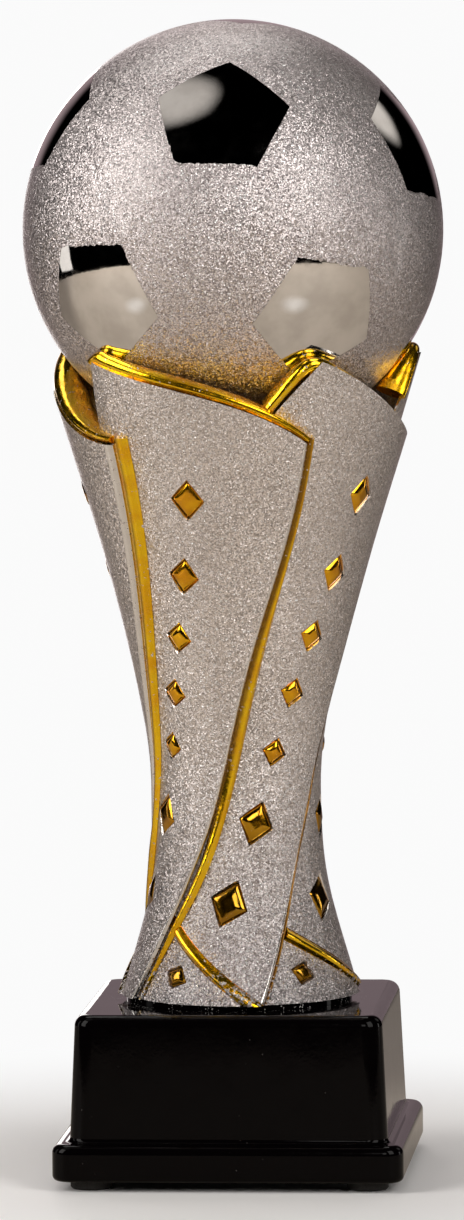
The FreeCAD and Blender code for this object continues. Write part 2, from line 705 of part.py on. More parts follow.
def pentagon_axes():
    """Twelve pentagon centres of a football, as (direction, direction of one corner)."""
    ring = math.degrees(math.atan(0.5))
    axes = []
    for upper in (True, False):
        sign = 1 if upper else -1
        pole = Vector(0, 0, sign)
        first = polar(sign * ring, 0 if upper else 36)
        axes.append((pole, first))
        for k in range(PETALS):
            azimuth = 72 * k + (0 if upper else 36)
            axes.append((polar(sign * ring, azimuth), pole))
    turn = FreeCAD.Rotation()
    for x, y, z, angle in BALL_TURN:
        turn = FreeCAD.Rotation(Vector(x, y, z), angle).multiply(turn)
    return [(turn.multVec(axis), turn.multVec(toward)) for axis, toward in axes]


def polar(elevation, azimuth):
    e = math.radians(elevation)
    a = math.radians(azimuth)
    return Vector(math.cos(e) * math.sin(a), -math.cos(e) * math.cos(a), math.sin(e))


def pentagon_pyramid(axis, toward, half_angle):
    """Five-sided pyramid from the ball's centre, with one corner turned towards a neighbour."""
    side = (toward - axis * toward.dot(axis)).normalize()
    other = axis.cross(side)
    centre = Vector(0, 0, BALL_CENTRE_Z)
    tip_radius = PENTAGON_REACH * math.tan(math.radians(half_angle))
    base = []
    for k in range(5):
        turn = math.radians(72 * k)
        corner = side * math.cos(turn) + other * math.sin(turn)
        base.append(centre + axis * PENTAGON_REACH + corner * tip_radius)
    faces = [Part.Face(Part.makePolygon(base + base[:1]))]
    for k in range(5):
        faces.append(Part.Face(Part.makePolygon([centre, base[k], base[(k + 1) % 5], centre])))
    solid = Part.makeSolid(Part.makeShell(faces))
    if solid.Volume < 0:
        solid.reverse()
    return solid


def ball_sphere(radius):
    return Part.makeSphere(radius, Vector(0, 0, BALL_CENTRE_Z))


def ball_pentagon(axis, toward):
    gap_angle = math.degrees(GLUE_LINE / BALL_RADIUS)
    layer = ball_sphere(BALL_RADIUS).cut(ball_sphere(BALL_RADIUS - PENTAGON_DEPTH + GLUE_LINE))
    pyramid = pentagon_pyramid(axis, toward, PENTAGON_ANGLE - gap_angle)
    return layer.common(pyramid).Solids[0]


def ball_shell():
    """Hollow ball with a shallow pocket for each pentagon."""
    floor = ball_sphere(BALL_RADIUS - PENTAGON_DEPTH)
    pockets = []
    for axis, toward in pentagon_axes():
        pockets.append(pentagon_pyramid(axis, toward, PENTAGON_ANGLE).cut(floor))
    return ball_sphere(BALL_RADIUS).cut(pockets + [ball_sphere(BALL_RADIUS - BALL_WALL)])


# ---------------------------------------------------------------- build

def build_petals():
    ball = ball_sphere(BALL_RADIUS + GLUE_LINE)
    beads = [rim_bead(petal).cut(ball) for petal in range(PETALS)]
    for petal in range(PETALS):
        number = str(petal + 1)
        places = petal_diamonds(petal)
        facet_place = FACET_DIAMOND_AT[petal] + FACET_DIAMOND_SIZE
        pockets = [diamond_cutter(petal, *place) for place in places]
        inlays = [diamond_inlay(petal, *place) for place in places + [facet_place]]
        skin = petal_blank(petal).cut([beads[petal], beads[petal - 1]] + pockets)
        facet = facet_blank(petal).cut(diamond_cutter(petal, *facet_place))
        export("petal_" + number, largest(skin))
        export("foot_facet_" + number, largest(facet))
        export("diamond_inlays_" + number, Part.makeCompound(inlays))
        export("seam_rib_" + number, largest(seam_rib(petal).cut(beads[petal - 1])))
        export("foot_rib_" + number, foot_rib(petal))
        export("rim_bead_" + number, largest(beads[petal].cut(beads[petal - 1])))


def largest(shape):
    return max(shape.Solids, key=lambda solid: solid.Volume)


def build_ball():
    export("ball_shell", ball_shell())
    for number, (axis, toward) in enumerate(pentagon_axes(), start=1):
        export("ball_pentagon_%02d" % number, ball_pentagon(axis, toward))


def build_base():
    export("plinth", plinth_shell())
    corners = [(-1, -1), (1, -1), (1, 1), (-1, 1)]
    for number, (side_x, side_y) in enumerate(corners, start=1):
        export("foot_pad_" + str(number), foot_pad(side_x, side_y))
    export("collar", collar())
    export("core", core())
    export("fixing_screw", fixing_screw())
    export("fixing_washer", fixing_washer())
    export("threaded_insert", threaded_insert())


build_base()
build_ball()
build_petals()
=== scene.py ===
"""Looks of the figure trophy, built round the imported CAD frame. Metres, +Z up, front towards -Y."""
import math

import bmesh
import bpy
import numpy as np
from mathutils import Matrix, Vector


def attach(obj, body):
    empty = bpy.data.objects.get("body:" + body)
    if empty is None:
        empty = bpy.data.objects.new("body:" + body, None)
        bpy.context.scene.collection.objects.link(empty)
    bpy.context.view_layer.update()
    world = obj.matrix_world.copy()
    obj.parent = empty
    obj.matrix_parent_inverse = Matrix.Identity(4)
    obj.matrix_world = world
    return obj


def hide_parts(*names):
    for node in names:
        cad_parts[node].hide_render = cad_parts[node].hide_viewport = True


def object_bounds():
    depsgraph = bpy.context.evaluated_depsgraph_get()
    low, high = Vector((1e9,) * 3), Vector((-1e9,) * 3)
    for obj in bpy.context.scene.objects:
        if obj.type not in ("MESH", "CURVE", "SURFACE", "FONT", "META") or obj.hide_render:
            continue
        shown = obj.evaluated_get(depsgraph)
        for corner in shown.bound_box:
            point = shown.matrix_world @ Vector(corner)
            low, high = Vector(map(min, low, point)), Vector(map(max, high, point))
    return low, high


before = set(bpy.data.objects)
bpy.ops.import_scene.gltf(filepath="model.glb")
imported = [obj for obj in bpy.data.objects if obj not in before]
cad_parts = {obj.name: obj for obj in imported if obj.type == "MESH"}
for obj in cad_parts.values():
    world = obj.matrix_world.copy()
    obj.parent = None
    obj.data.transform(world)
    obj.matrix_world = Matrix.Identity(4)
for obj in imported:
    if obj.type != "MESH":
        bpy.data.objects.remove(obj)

cad_low, cad_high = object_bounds()
scene = bpy.context.scene
MM = 0.001

# Driving sizes of the frame that the looks follow
BALL_RADIUS = 54.6 * MM
PETALS = 5
PENTAGONS = 12
PENTAGON_SIDES = 5

# Camera: degrees from the front and above level, metres, and millimetres of lens and sensor
CAMERA_AZIMUTH = 4.9
CAMERA_ELEVATION = 4.6
CAMERA_ROLL = -0.5
CAMERA_DISTANCE = 2.1
CAMERA_TARGET = Vector((-0.0011, 0.0, 0.1465))
CAMERA_LENS = 237.9
CAMERA_SENSOR = 36.0
CAMERA_CLIP = 0.05


# ---------------------------------------------------------------- material graphs

NOISE_ROUGHNESS = 0.55


class Graph:
    """Short calls for building a node tree."""

    def __init__(self, tree, coordinates):
        self.tree = tree
        self.place = self.add("ShaderNodeTexCoord").outputs[coordinates]

    def add(self, kind, settings=None, **inputs):
        """A new node with these settings and inputs. An underscore in an input's name is a space."""
        node = self.tree.nodes.new(kind)
        for key, value in (settings or {}).items():
            setattr(node, key, value)
        for key, value in inputs.items():
            self.feed(node.inputs[key.replace("_", " ")], value)
        return node

    def feed(self, socket, value):
        """Link an output to the socket, or set the socket to a plain value."""
        if isinstance(value, bpy.types.NodeSocket):
            self.tree.links.new(value, socket)
        else:
            socket.default_value = value

    def math(self, operation, *values, clamp=False):
        node = self.add("ShaderNodeMath", {"operation": operation, "use_clamp": clamp})
        for socket, value in zip(node.inputs, values):
            self.feed(socket, value)
        return node.outputs[0]

    def vector(self, operation, *values):
        node = self.add("ShaderNodeVectorMath", {"operation": operation})
        for socket, value in zip(node.inputs[:2], values):
            self.feed(socket, value)
        return node

    def scaled(self, vector, factor):
        node = self.vector("SCALE", vector)
        self.feed(node.inputs["Scale"], factor)
        return node.outputs[0]

    def mix(self, factor, a, b):
        """A where factor is 0 and b where it is 1: colours, normals or single numbers."""
        node = self.add("ShaderNodeMix", {"data_type": "RGBA"})
        self.feed(node.inputs[0], factor)
        self.feed(node.inputs[6], a)
        self.feed(node.inputs[7], b)
        return node.outputs[2]

    def along(self, axis):
        """The place's coordinate along X, Y or Z, in metres."""
        return self.add("ShaderNodeSeparateXYZ", Vector=self.place).outputs[axis]

    def noise(self, size, detail=3.0):
        """Noise whose features are about size metres across."""
        node = self.add("ShaderNodeTexNoise", Vector=self.place, Scale=1 / size, Detail=detail,
                        Roughness=NOISE_ROUGHNESS)
        return node.outputs["Fac"]

    def cells(self, size):
        """Voronoi cells about size metres across."""
        return self.add("ShaderNodeTexVoronoi", Vector=self.place, Scale=1 / size)

    def remap(self, value, low, high, to_low=0.0, to_high=1.0):
        """A soft ramp from to_low to to_high while value goes from low to high."""
        node = self.add("ShaderNodeMapRange", {"interpolation_type": "SMOOTHSTEP"})
        for socket, number in zip(node.inputs, (value, low, high, to_low, to_high)):
            self.feed(socket, number)
        return node.outputs[0]

    def bump(self, height, depth, strength=1.0, normal=None):
        """Normal of a relief up to depth metres deep, laid over another normal if one is given."""
        node = self.add("ShaderNodeBump", Height=height, Distance=depth, Strength=strength)
        if normal is not None:
            self.feed(node.inputs["Normal"], normal)
        return node.outputs[0]

    def blend(self, factor, a, b):
        """Two shaders mixed."""
        node = self.add("ShaderNodeMixShader")
        for socket, value in zip(node.inputs, (factor, a, b)):
            self.feed(socket, value)
        return node.outputs[0]


class MaterialGraph(Graph):
    """A new material, seen through its node tree."""

    def __init__(self, name):
        self.material = bpy.data.materials.new(name)
        self.material.use_nodes = True
        super().__init__(self.material.node_tree, "Object")
        self.surface = self.tree.nodes["Principled BSDF"]

    def finish(self, **sockets):
        """Feed the surface shader and give back the material."""
        for key, value in sockets.items():
            self.feed(self.surface.inputs[key.replace("_", " ")], value)
        return self.material


def rgb(r, g, b):
    return (r, g, b, 1.0)


# Heights in metres between which the looks of the lower column change
FOOT_SPARKLE_Z = (0.05, 0.13)
GOLD_OVERSPRAY_Z = (0.046, 0.062)
INLAY_SHADE_Z = (0.078, 0.118)

BALL_FLAKES = {"grain": 0.00031, "tilt": 0.66, "glints": 0.05,
               "dark": rgb(0.34, 0.30, 0.295), "light": rgb(0.90, 0.82, 0.81)}
PETAL_FLAKES = {"grain": 0.00032, "tilt": 0.62, "glints": 0.06,
                "dark": rgb(0.48, 0.43, 0.405), "light": rgb(0.98, 0.90, 0.86)}
FLAKE_FOOT = rgb(0.27, 0.24, 0.26)
FLAKE_GLINT = rgb(0.98, 0.97, 0.96)
FINE_GRAIN = 0.55  # size of the fine flakes, as a share of the coarse ones
FINE_LEAN = 0.6  # lean of the fine flakes, as a share of the coarse ones
FLAKE_RELIEF = 0.35  # height of a flake, as a share of its size
FLAKE_ROUGHNESS = (0.28, 0.48)
FOOT_TONE_SHARE = 0.5  # share of FLAKE_FOOT in the colour at the foot
FOOT_TILT_GROWTH = 0.9  # how much more the flakes lean at the foot
MID_GREY = (0.5, 0.5, 0.5)


def flake_look(g, grain, tilt, glints, dark, light):
    """Colour, roughness and normal of silver flakes, each leaning its own way.

    Towards the foot the flakes lean more and are darker, and more of them glint.
    """
    flakes = g.cells(grain)
    fine = g.cells(grain * FINE_GRAIN)
    split = g.add("ShaderNodeSeparateColor", Color=flakes.outputs["Color"])
    tone = g.remap(split.outputs[0], 0.0, 1.0)
    patches = g.noise(0.02, 2.0)
    tone = g.math("ADD", tone, g.math("MULTIPLY", g.math("SUBTRACT", patches, 0.5), 0.5), clamp=True)
    colour = g.mix(tone, dark, light)
    low = g.remap(g.along("Z"), *FOOT_SPARKLE_Z, 1.0, 0.0)
    colour = g.mix(g.math("MULTIPLY", low, FOOT_TONE_SHARE), colour, FLAKE_FOOT)
    share = g.math("MULTIPLY", g.math("ADD", low, 1.0), glints)
    glint = g.math("GREATER_THAN", g.math("ADD", split.outputs[1], share), 1.0)
    colour = g.mix(glint, colour, FLAKE_GLINT)
    relief = g.bump(flakes.outputs["Distance"], grain * FLAKE_RELIEF, 0.6)
    lean = g.vector("SUBTRACT", flakes.outputs["Color"], MID_GREY).outputs[0]
    lean_fine = g.vector("SUBTRACT", fine.outputs["Color"], MID_GREY).outputs[0]
    lean = g.vector("ADD", lean, g.scaled(lean_fine, FINE_LEAN)).outputs[0]
    lean = g.scaled(lean, g.math("MULTIPLY_ADD", low, tilt * FOOT_TILT_GROWTH, tilt))
    normal = g.vector("NORMALIZE", g.vector("ADD", relief, lean).outputs[0]).outputs[0]
    rough = g.remap(split.outputs[2], 0.0, 1.0, *FLAKE_ROUGHNESS)
    return colour, rough, normal


def glitter(name, flakes):
    """Silver flakes under lacquer."""
    g = MaterialGraph(name)
    colour, rough, normal = flake_look(g, **flakes)
    return g.finish(Base_Color=colour, Metallic=1.0, Roughness=rough, Normal=normal,
                    Coat_Weight=0.2, Coat_Roughness=0.15)


def polished_silver():
    """The smooth silver of raised edges and pocket walls, with a little stray glitter."""
    g = MaterialGraph("polished_silver")
    flakes, flake_rough, flake_normal = flake_look(g, **PETAL_FLAKES)
    stray = g.remap(g.noise(0.0011, 3.0), 0.60, 0.66)
    waves = g.bump(g.noise(0.002, 2.0), 0.00005)
    tint = g.mix(g.noise(0.004), rgb(0.72, 0.69, 0.66), rgb(0.86, 0.83, 0.80))
    rough = g.mix(stray, g.remap(g.noise(0.003), 0.3, 0.7, 0.12, 0.24), flake_rough)
    return g.finish(Base_Color=g.mix(stray, tint, flakes), Metallic=1.0, Roughness=rough,
                    Normal=g.mix(stray, waves, flake_normal))


GOLD_BRIGHT = rgb(0.98, 0.62, 0.010)
GOLD_DEEP = rgb(0.90, 0.46, 0.006)
# Dark gold painted into the seam ribs' creases as painted shade
GOLD_CREASE_SHADE = rgb(0.19, 0.085, 0.008)
GOLD_SPECK = rgb(0.95, 0.8, 0.45)
INLAY_BRIGHT = rgb(0.92, 0.48, 0.008)
INLAY_DEEP = rgb(0.70, 0.30, 0.005)
# Painted shade laid over the inlays low on the column
INLAY_SHADE = rgb(0.20, 0.10, 0.006)
INLAY_SHADE_SHARE = 0.75
# Depth of the ripple in metres, lowest and highest roughness
LUSTRE_SURFACE = (0.00015, 0.14, 0.28)
INLAY_SURFACE = (0.0001, 0.10, 0.2)
FINE_RIPPLE = 0.12  # depth of the fine ripple, as a share of the broad one


def gold(name, bright, deep, ripple, rough_low, rough_high, crease=False, inlay=False):
    """Bright gold lustre, brushed on by hand: slightly uneven in colour and surface.

    Inlays are darker low on the column, as painted shade. All other gold has some stray glitter, most of it
    near the foot.
    """
    g = MaterialGraph(name)
    pooled = g.noise(0.006, 4.0)
    colour = g.mix(g.remap(pooled, 0.35, 0.68), bright, deep)
    # Painted shade: the rib's lustre is darkened in the crease beside the seam
    if crease:
        crease_shade = g.add("ShaderNodeAttribute", {"attribute_name": "crease"}).outputs["Fac"]
        colour = g.mix(crease_shade, colour, GOLD_CREASE_SHADE)
    if inlay:
        shade = g.remap(g.along("Z"), *INLAY_SHADE_Z, INLAY_SHADE_SHARE, 0.0)
        colour = g.mix(shade, colour, INLAY_SHADE)
    specks = g.cells(0.0011)
    colour = g.mix(g.remap(specks.outputs["Distance"], 0.0, 0.16, 0.35, 0.0), colour, GOLD_SPECK)
    waves = g.bump(g.noise(0.0035, 2.0), ripple)
    normal = g.bump(g.noise(0.0006, 3.0), ripple * FINE_RIPPLE, 1.0, waves)
    rough = g.remap(pooled, 0.2, 0.8, rough_low, rough_high)
    if not inlay:
        flakes, flake_rough, flake_normal = flake_look(g, **PETAL_FLAKES)
        spread = g.remap(g.along("Z"), *GOLD_OVERSPRAY_Z, 0.2, 0.0)
        stray = g.remap(g.math("ADD", g.noise(0.0011, 3.0), spread), 0.66, 0.70)
        colour = g.mix(stray, colour, flakes)
        rough = g.mix(stray, rough, flake_rough)
        normal = g.mix(stray, normal, flake_normal)
    return g.finish(Base_Color=colour, Metallic=1.0, Roughness=rough, Normal=normal,
                    Coat_Weight=0.3, Coat_Roughness=0.06)


def mirror():
    """Polished silver pentagon, faintly wavy, with glitter straying over its margin."""
    g = MaterialGraph("pentagon_mirror")
    margin = g.add("ShaderNodeAttribute", {"attribute_name": "margin_mm"}).outputs["Fac"]
    wander = g.math("MULTIPLY", g.noise(0.0016, 4.0), 1.5)
    stray = g.remap(g.math("SUBTRACT", margin, wander), -0.45, -0.35, 1.0, 0.0)
    flakes, flake_rough, flake_normal = flake_look(g, **BALL_FLAKES)
    waves = g.bump(g.noise(0.014, 1.0), 0.00012)
    smooth = g.bump(g.noise(0.0012, 2.0), 0.000004, 1.0, waves)
    tint = g.mix(g.remap(g.noise(0.009), 0.3, 0.7), rgb(0.62, 0.59, 0.56), rgb(0.76, 0.73, 0.70))
    rough = g.remap(g.noise(0.005, 3.0), 0.4, 0.8, 0.04, 0.09)
    return g.finish(Base_Color=g.mix(stray, tint, flakes), Metallic=1.0,
                    Roughness=g.mix(stray, rough, flake_rough), Normal=g.mix(stray, smooth, flake_normal))


GLAZE_BLACK = rgb(0.0012, 0.0008, 0.001)
GLAZE_DUST = rgb(0.18, 0.17, 0.16)
GLAZE_OVERSPRAY = rgb(0.7, 0.68, 0.66)
OVERSPRAY_RADIUS = (0.029, 0.037)  # metres from the axis over which glitter on the plinth fades out


def black_glaze():
    """Deep black high gloss glaze with a little dust, and stray glitter round the column's foot."""
    g = MaterialGraph("black_glaze")
    dust = g.remap(g.cells(0.0023).outputs["Distance"], 0.02, 0.09, 1.0, 0.0)
    dust = g.math("MULTIPLY", dust, g.remap(g.noise(0.012, 2.0), 0.56, 0.66))
    colour = g.mix(g.math("MULTIPLY", dust, 0.5), GLAZE_BLACK, GLAZE_DUST)
    flat = g.vector("MULTIPLY", g.place, (1.0, 1.0, 0.0)).outputs[0]
    near_column = g.remap(g.vector("LENGTH", flat).outputs["Value"], *OVERSPRAY_RADIUS, 1.0, 0.0)
    overspray = g.remap(g.cells(0.0008).outputs["Distance"], 0.16, 0.22, 1.0, 0.0)
    overspray = g.math("MULTIPLY", overspray, g.remap(g.noise(0.004, 2.0), 0.48, 0.56))
    colour = g.mix(g.math("MULTIPLY", overspray, near_column), colour, GLAZE_OVERSPRAY)
    waves = g.bump(g.noise(0.025, 1.0), 0.00005)
    normal = g.bump(g.noise(0.0012, 2.0), 0.000003, 1.0, waves)
    rough = g.remap(g.noise(0.006, 4.0), 0.35, 0.75, 0.04, 0.09)
    return g.finish(Base_Color=colour, Roughness=rough, Normal=normal, Specular_IOR_Level=0.085)


def rubber():
    """Matt black rubber of the stick-on pads."""
    g = MaterialGraph("pad_rubber")
    grain = g.noise(0.0004, 4.0)
    colour = g.mix(g.noise(0.002), rgb(0.012, 0.012, 0.012), rgb(0.035, 0.034, 0.033))
    return g.finish(Base_Color=colour, Roughness=g.remap(grain, 0.3, 0.7, 0.62, 0.85),
                    Normal=g.bump(grain, 0.00005))


LATHE_STRETCH = (1.0, 1.0, 12.0)
LATHE_LINES = 1800.0


def plated_steel():
    """Bright plated steel with fine turning lines round the upright axis."""
    g = MaterialGraph("plated_steel")
    stretched = g.vector("MULTIPLY", g.place, LATHE_STRETCH).outputs[0]
    lines = g.add("ShaderNodeTexNoise", Vector=stretched, Scale=LATHE_LINES, Detail=3.0).outputs["Fac"]
    colour = g.mix(g.noise(0.003), rgb(0.42, 0.43, 0.44), rgb(0.62, 0.62, 0.6))
    return g.finish(Base_Color=colour, Metallic=1.0, Roughness=g.remap(lines, 0.3, 0.7, 0.22, 0.42),
                    Normal=g.bump(lines, 0.00002))


MATERIALS = {
    "silver_glitter": glitter("silver_glitter", PETAL_FLAKES),
    "ball_glitter": glitter("ball_glitter", BALL_FLAKES),
    "polished_silver": polished_silver(),
    "gold_lustre": gold("gold_lustre", GOLD_BRIGHT, GOLD_DEEP, *LUSTRE_SURFACE),
    "gold_rib": gold("gold_rib", GOLD_BRIGHT, GOLD_DEEP, *LUSTRE_SURFACE, crease=True),
    "gold_inlay": gold("gold_inlay", INLAY_BRIGHT, INLAY_DEEP, *INLAY_SURFACE, inlay=True),
    "pentagon_mirror": mirror(),
    "black_glaze": black_glaze(),
    "pad_rubber": rubber(),
    "plated_steel": plated_steel(),
}
# Material of each node, by the start of its name
NODE_SLOTS = {"plinth": "black_glaze", "collar": "black_glaze", "foot_pad": "pad_rubber",
              "core": "gold_lustre", "petal": "silver_glitter", "foot_facet": "silver_glitter",
              "seam_rib": "gold_lustre", "foot_rib": "gold_lustre", "rim_bead": "gold_lustre",
              "diamond_inlays": "gold_inlay", "ball_shell": "ball_glitter",
              "ball_pentagon": "pentagon_mirror", "fixing": "plated_steel",
              "threaded_insert": "plated_steel"}


def slot_of(node):
    """The entry whose key is the longest start of the node's name."""
    matches = [key for key in NODE_SLOTS if node.startswith(key)]
    return NODE_SLOTS[max(matches, key=len)]


for node_name, node_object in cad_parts.items():
    node_object.data.materials.clear()
    node_object.data.materials.append(MATERIALS[slot_of(node_name)])


# ---------------------------------------------------------------- column geometry, in millimetres and degrees

# Heights and radii of the column's skin
SKIN_PROFILE = [(46.5, 29.4), (61.0, 25.4), (77.0, 21.9), (92.0, 20.9), (110.0, 21.6),
                (135.0, 26.4), (162.0, 33.3), (189.0, 41.5), (214.0, 49.2)]
PETAL_PITCH = 72.0
# Degrees by which each seam stands off the regular pitch
SEAM_SHIFT = [0.0, -3.0, 0.0, 2.0, 1.0]
SEAM_TOP_Z = 189.0
SEAM_TOP_ANGLE = 30.0
TWIST_RATE_TOP = 0.04
TWIST_RATE_WAIST = 0.81
TWIST_WAIST_DEPTH = 90.6
# Extra turn of each seam towards the foot
FOOT_SWING = [6.6, 2.0, 2.0, 5.0, 5.8]
FOOT_SWING_TOP_Z = 98.0
FOOT_SWING_HEIGHT = 38.0
# Sideways bow of each seam at mid height
SEAM_BOW = [3.0, 0.0, 0.0, 0.0, 0.0]
SEAM_BOW_Z = 132.0
SEAM_BOW_HALF_HEIGHT = 44.0
# Width of each petal's silver edge, along its right seam
EDGE_BEVEL = [1.4, 1.6, 1.6, 2.0, 1.4]
# Farther than this to the left of its left seam, a point counts as lying to the right of it
LEFT_REACH = 144.0


def skin_radius(z):
    """Radius of the column at heights z, close enough to tell which strip a face is on."""
    heights, radii = zip(*SKIN_PROFILE)
    return np.interp(z, heights, radii)


def smooth_step(value):
    """A soft rise from 0 to 1 while value goes from 0 to 1."""
    held = np.clip(value, 0.0, 1.0)
    return held * held * (3 - 2 * held)


def seam_angle(seam, z):
    """Degrees from the front at which a seam stands at heights z."""
    depth = SEAM_TOP_Z - z
    curved = np.clip(depth, 0.0, TWIST_WAIST_DEPTH)
    growth = (TWIST_RATE_WAIST - TWIST_RATE_TOP) / TWIST_WAIST_DEPTH
    angle = SEAM_TOP_ANGLE - TWIST_RATE_TOP * np.minimum(depth, curved) - growth * curved ** 2 / 2
    angle -= TWIST_RATE_WAIST * np.maximum(depth - TWIST_WAIST_DEPTH, 0.0)
    number = seam % PETALS
    angle -= FOOT_SWING[number] * smooth_step((FOOT_SWING_TOP_Z - z) / FOOT_SWING_HEIGHT)
    angle -= SEAM_BOW[number] * smooth_step(1 - np.abs(z - SEAM_BOW_Z) / SEAM_BOW_HALF_HEIGHT)
    return angle + PETAL_PITCH * seam + SEAM_SHIFT[number]


def petal_span(petal, z):
    """Degrees from a petal's left seam to its right seam at heights z."""
    return seam_angle(petal + 1, z) - seam_angle(petal, z)


def fraction_across(petal, points):
    """How far across a petal each point lies: 0 at its left seam and 1 at its right seam."""
    angle = np.degrees(np.arctan2(points[:, 0], -points[:, 1]))
    turned = (angle - seam_angle(petal, points[:, 2]) + LEFT_REACH) % 360.0 - LEFT_REACH
    return turned / petal_span(petal, points[:, 2])


# ---------------------------------------------------------------- pieces that stand for CAD nodes

SKIN_FACING = 0.93  # a petal's face whose normal has less than this cosine to the skin's is an edge or wall
# How dark the painted shade is in each seam rib's crease, and how wide the crease and its fade are in
# millimetres
CREASE_SHADE_DEPTH = [0.9, 1.0, 0.5, 0.5, 0.1]
CREASE_WIDTH = 0.7
CREASE_FADE = 0.8
WELD_DISTANCE = 0.002 * MM
FLAT_ANGLE = math.radians(1.0)
PILLOW_WIDTH = 0.8 * MM
PILLOW_STEPS = 4


def mesh_array(items, attribute, width):
    """One row of numbers for each vertex or face."""
    values = np.zeros(len(items) * width)
    items.foreach_get(attribute, values)
    return values.reshape(-1, width)


def stand_in(node, materials, mesh=None):
    """A piece with the CAD node's own shape that can hold several materials."""
    piece = bpy.data.objects.new(node + "_look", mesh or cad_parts[node].data.copy())
    scene.collection.objects.link(piece)
    piece.data.materials.clear()
    for material in materials:
        piece.data.materials.append(material)
    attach(piece, "root")
    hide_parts(node)
    return piece


def petal_look(petal):
    """Glitter on the petal's face, polished silver on its raised edge, rim and pocket walls."""
    node = "petal_" + str(petal + 1)
    piece = stand_in(node, [MATERIALS["silver_glitter"], MATERIALS["polished_silver"]])
    centres = mesh_array(piece.data.polygons, "center", 3) / MM
    normals = mesh_array(piece.data.polygons, "normal", 3)
    z = centres[:, 2]
    slope = (skin_radius(z + 1) - skin_radius(z - 1)) / 2
    outward = np.stack([centres[:, 0], centres[:, 1], 0 * z], 1)
    outward /= np.linalg.norm(outward, axis=1, keepdims=True)
    skin_normal = outward - np.outer(slope, (0, 0, 1))
    skin_normal /= np.linalg.norm(skin_normal, axis=1, keepdims=True)
    faces_out = (normals * skin_normal).sum(1)
    across = fraction_across(petal, centres)
    edge = 1 - EDGE_BEVEL[petal] / (skin_radius(SEAM_TOP_Z) * math.radians(petal_span(petal, SEAM_TOP_Z)))
    smooth = (across > edge) | (np.abs(faces_out) < SKIN_FACING)
    piece.data.polygons.foreach_set("material_index", smooth.astype(np.int32))


def pentagon_look(number):
    """A mirror pentagon that knows how far each of its points is from its margin."""
    node = "ball_pentagon_%02d" % number
    piece = stand_in(node, [MATERIALS["pentagon_mirror"]])
    middle = np.array([0.0, 0.0, cad_high.z - BALL_RADIUS])
    points = mesh_array(piece.data.vertices, "co", 3) - middle
    directions = points / np.linalg.norm(points, axis=1, keepdims=True)
    axis = directions.mean(0)
    axis /= np.linalg.norm(axis)
    flat = directions / (directions @ axis)[:, None] - axis
    reach = np.linalg.norm(flat, axis=1)
    corner = flat[reach.argmax()] / reach.max()
    side = np.cross(axis, corner)
    half_side = 180 / PENTAGON_SIDES
    apothem = reach.max() * math.cos(math.radians(half_side))
    margin = np.full(len(flat), np.inf)
    for side_number in range(PENTAGON_SIDES):
        turn = math.radians(half_side * (2 * side_number + 1))
        towards = corner * math.cos(turn) + side * math.sin(turn)
        margin = np.minimum(margin, apothem - flat @ towards)
    layer = piece.data.attributes.new("margin_mm", "FLOAT", "POINT")
    layer.data.foreach_set("value", np.maximum(margin, 0.0) * BALL_RADIUS / MM)


def rib_look(petal):
    """The petal's seam rib, with painted shade darkening the crease beside the seam."""
    piece = stand_in("seam_rib_" + str(petal + 1), [MATERIALS["gold_rib"]])
    points = mesh_array(piece.data.vertices, "co", 3) / MM
    across = fraction_across(petal, points)
    arc = np.radians(across * petal_span(petal, points[:, 2])) * skin_radius(points[:, 2])
    # The crease attribute holds how much painted shade each point gets
    layer = piece.data.attributes.new("crease", "FLOAT", "POINT")
    past_crease = smooth_step((arc - CREASE_WIDTH) / CREASE_FADE)
    layer.data.foreach_set("value", CREASE_SHADE_DEPTH[petal] * (1 - past_crease))


def inlay_look(petal):
    """The petal's gold diamonds with their hips softened into a pillow."""
    node = "diamond_inlays_" + str(petal + 1)
    mesh = bpy.data.meshes.new(node + "_look")
    shape = bmesh.new()
    shape.from_mesh(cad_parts[node].data)
    bmesh.ops.remove_doubles(shape, verts=shape.verts, dist=WELD_DISTANCE)
    bmesh.ops.dissolve_limit(shape, angle_limit=FLAT_ANGLE, verts=shape.verts, edges=shape.edges)
    bmesh.ops.bevel(shape, geom=shape.edges[:], offset=PILLOW_WIDTH, segments=PILLOW_STEPS,
                    profile=0.5, affect="EDGES", clamp_overlap=True)
    for face in shape.faces:
        face.smooth = True
    shape.to_mesh(mesh)
    shape.free()
    stand_in(node, [MATERIALS["gold_inlay"]], mesh)


for petal_index in range(PETALS):
    petal_look(petal_index)
    rib_look(petal_index)
    inlay_look(petal_index)
for pentagon_number in range(1, PENTAGONS + 1):
    pentagon_look(pentagon_number)


# ---------------------------------------------------------------- stage, lights and camera

BACKDROP = rgb(0.96, 0.96, 0.96)
TABLE_RADIUS = 0.9
TABLE_SIDES = 96
TABLE_FADE = (0.05, 0.24)  # metres from the trophy over which the table fades into the backdrop
TABLE_SEEN = rgb(0.93, 0.92, 0.91)
TABLE_REFLECTED = (rgb(0.61, 0.54, 0.46), rgb(0.65, 0.58, 0.50))
TABLE_SHADE = rgb(0.10, 0.08, 0.08)
TABLE_SHADE_Y = (0.08, 0.2)  # metres behind the trophy over which reflections of the table darken
TABLE_SHADE_SHARE = 0.45
# Two pools of painted light on the table in front, where the side softboxes would light it; only reflections
# show them
TABLE_LIGHT_POOLS = [(-0.32, -0.22, 0.0), (0.234, -0.26, 0.0)]
TABLE_LIGHT_POOL_RADII = (0.01, 0.07)
TABLE_LIGHT_POOL_TONE = rgb(1.0, 0.98, 0.95)

# Light behind the trophy, in reflections only: its direction, the cosines of its edge and core, its colour
BEHIND_AZIMUTH = 188
BEHIND_ELEVATION = 4
BEHIND_COSINES = (0.86, 0.985)
BEHIND_COLOUR = (0.38, 0.29, 0.31)
